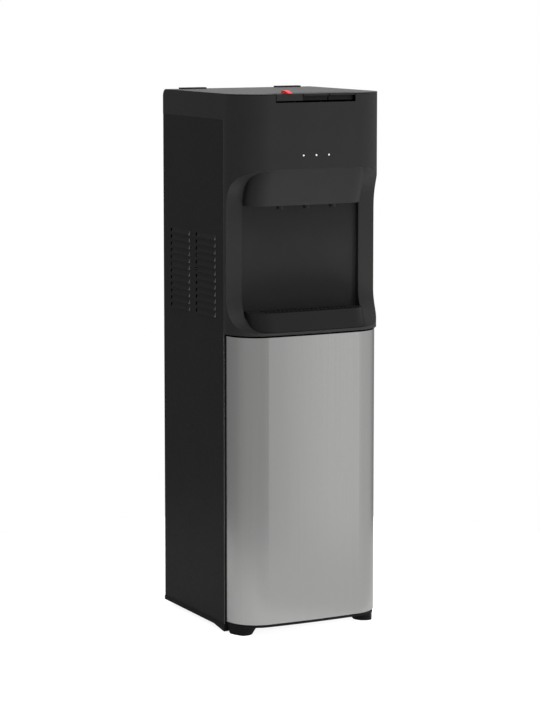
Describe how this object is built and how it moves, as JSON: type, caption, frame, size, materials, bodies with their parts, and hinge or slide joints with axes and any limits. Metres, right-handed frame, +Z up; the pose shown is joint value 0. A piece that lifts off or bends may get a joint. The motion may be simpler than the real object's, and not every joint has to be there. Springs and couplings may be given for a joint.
{
  "type": "bottom loading water cooler",
  "caption": "Free-standing bottom-loading water cooler with a bowed black cabinet, scooped dispensing niche, push keys, drip tray and a silver bottle door.",
  "frame": {"origin": "on the floor, under the middle of the overall box", "axes": "+Z up, the front with the door and niche faces -Y, +X to the right seen from the front"},
  "size_m": [0.325, 0.362, 1.0375],
  "materials": {
    "gloss_black": "gloss",
    "satin_black": "satin",
    "key_black": "satin",
    "black_steel": "satin",
    "silver_steel": "satin",
    "dark_plastic": "matt",
    "red_plastic": "gloss",
    "lamp_lens": "gloss",
    "white_plastic": "satin",
    "grey_steel": "satin",
    "stainless": "brushed",
    "foam": "matt",
    "copper": "satin",
    "rubber": "matt",
    "hose": "satin",
    "board": "satin"
  },
  "bodies": {
    "cabinet": {"base_pan": "dark_plastic", "front_foot_left": "dark_plastic", "front_foot_right": "dark_plastic", "rear_feet": "dark_plastic", "side_panel_left": "black_steel", "side_panel_right": "black_steel", "back_panel": "grey_steel", "back_screws": "stainless", "top_cover": "gloss_black", "front_fascia": "satin_black", "splash_panel": "satin_black", "key_tray": "dark_plastic", "key_rod": "stainless", "switch_board": "board", "key_switches": "dark_plastic", "indicator_lenses": "lamp_lens", "lamp_board": "board", "spouts": "dark_plastic", "tap_valves": "white_plastic", "tap_hoses": "hose", "mid_shelf": "grey_steel", "tank_shelf": "grey_steel", "hot_tank": "stainless", "heater_band": "stainless", "cold_tank": "stainless", "evaporator_sleeve": "copper", "foam_tub": "foam", "foam_lid": "foam", "compressor": "black_steel", "compressor_grommets": "rubber", "suction_line": "copper", "discharge_line": "copper", "condenser": "black_steel", "wall_spacers": "dark_plastic", "water_pump": "dark_plastic", "pump_hose": "hose", "feed_hose": "hose", "bottle_probe": "white_plastic", "power_box": "white_plastic", "compartment_liner": "white_plastic", "hinge_lower": "stainless", "hinge_upper": "stainless", "switch_bezel": "dark_plastic", "drain_port": "white_plastic", "cord_gland": "rubber"},
    "door": {"door_skin": "silver_steel", "door_inner": "white_plastic", "door_cap_top": "dark_plastic", "door_cap_bottom": "dark_plastic", "door_magnet": "rubber"},
    "hot_key": {"key_hot": "key_black"},
    "room_key": {"key_room": "key_black"},
    "cold_key": {"key_cold": "key_black"},
    "lock": {"child_lock": "red_plastic"},
    "tray": {"drip_tray": "satin_black"},
    "grille": {"drip_grille": "key_black"},
    "heat_rocker": {"rocker_heat": "red_plastic"},
    "cool_rocker": {"rocker_cool": "key_black"},
    "cap": {"drain_cap": "white_plastic"}
  },
  "joints": [
    {"name": "door_swing", "type": "hinge", "parent": "cabinet", "child": "door", "pos_m": [0.148, -0.1215, 0.3], "axis": [0, 0, 1], "range_deg": [0, 100]},
    {"name": "hot_key_press", "type": "hinge", "parent": "cabinet", "child": "hot_key", "pos_m": [-0.0565, -0.141, 1.0237], "axis": [1, 0, 0], "range_deg": [0, 4], "stiffness_Nm_per_rad": 0.6, "springref_deg": -11.46},
    {"name": "room_key_press", "type": "hinge", "parent": "cabinet", "child": "room_key", "pos_m": [0, -0.141, 1.0237], "axis": [1, 0, 0], "range_deg": [0, 4], "stiffness_Nm_per_rad": 0.6, "springref_deg": -11.46},
    {"name": "cold_key_press", "type": "hinge", "parent": "cabinet", "child": "cold_key", "pos_m": [0.0565, -0.141, 1.0237], "axis": [1, 0, 0], "range_deg": [0, 4], "stiffness_Nm_per_rad": 0.6, "springref_deg": -11.46},
    {"name": "child_lock_slide", "type": "slide", "parent": "hot_key", "child": "lock", "axis": [0, 1, 0], "range_m": [0, 0.005], "stiffness_N_per_m": 150, "springref_m": -0.008},
    {"name": "tray_slide", "type": "slide", "parent": "cabinet", "child": "tray", "axis": [0, -1, 0], "range_m": [0, 0.085]},
    {"name": "grille_lift", "type": "slide", "parent": "tray", "child": "grille", "axis": [0, 0, 1], "range_m": [0, 0.05]},
    {"name": "heat_rocker_tip", "type": "hinge", "parent": "cabinet", "child": "heat_rocker", "pos_m": [0.07, 0.1568, 0.937], "axis": [1, 0, 0], "range_deg": [-8, 8]},
    {"name": "cool_rocker_tip", "type": "hinge", "parent": "cabinet", "child": "cool_rocker", "pos_m": [0.098, 0.1568, 0.937], "axis": [1, 0, 0], "range_deg": [-8, 8]},
    {"name": "drain_cap_pull", "type": "slide", "parent": "cabinet", "child": "cap", "axis": [0, 1, 0], "range_m": [0, 0.03]}
  ]
}
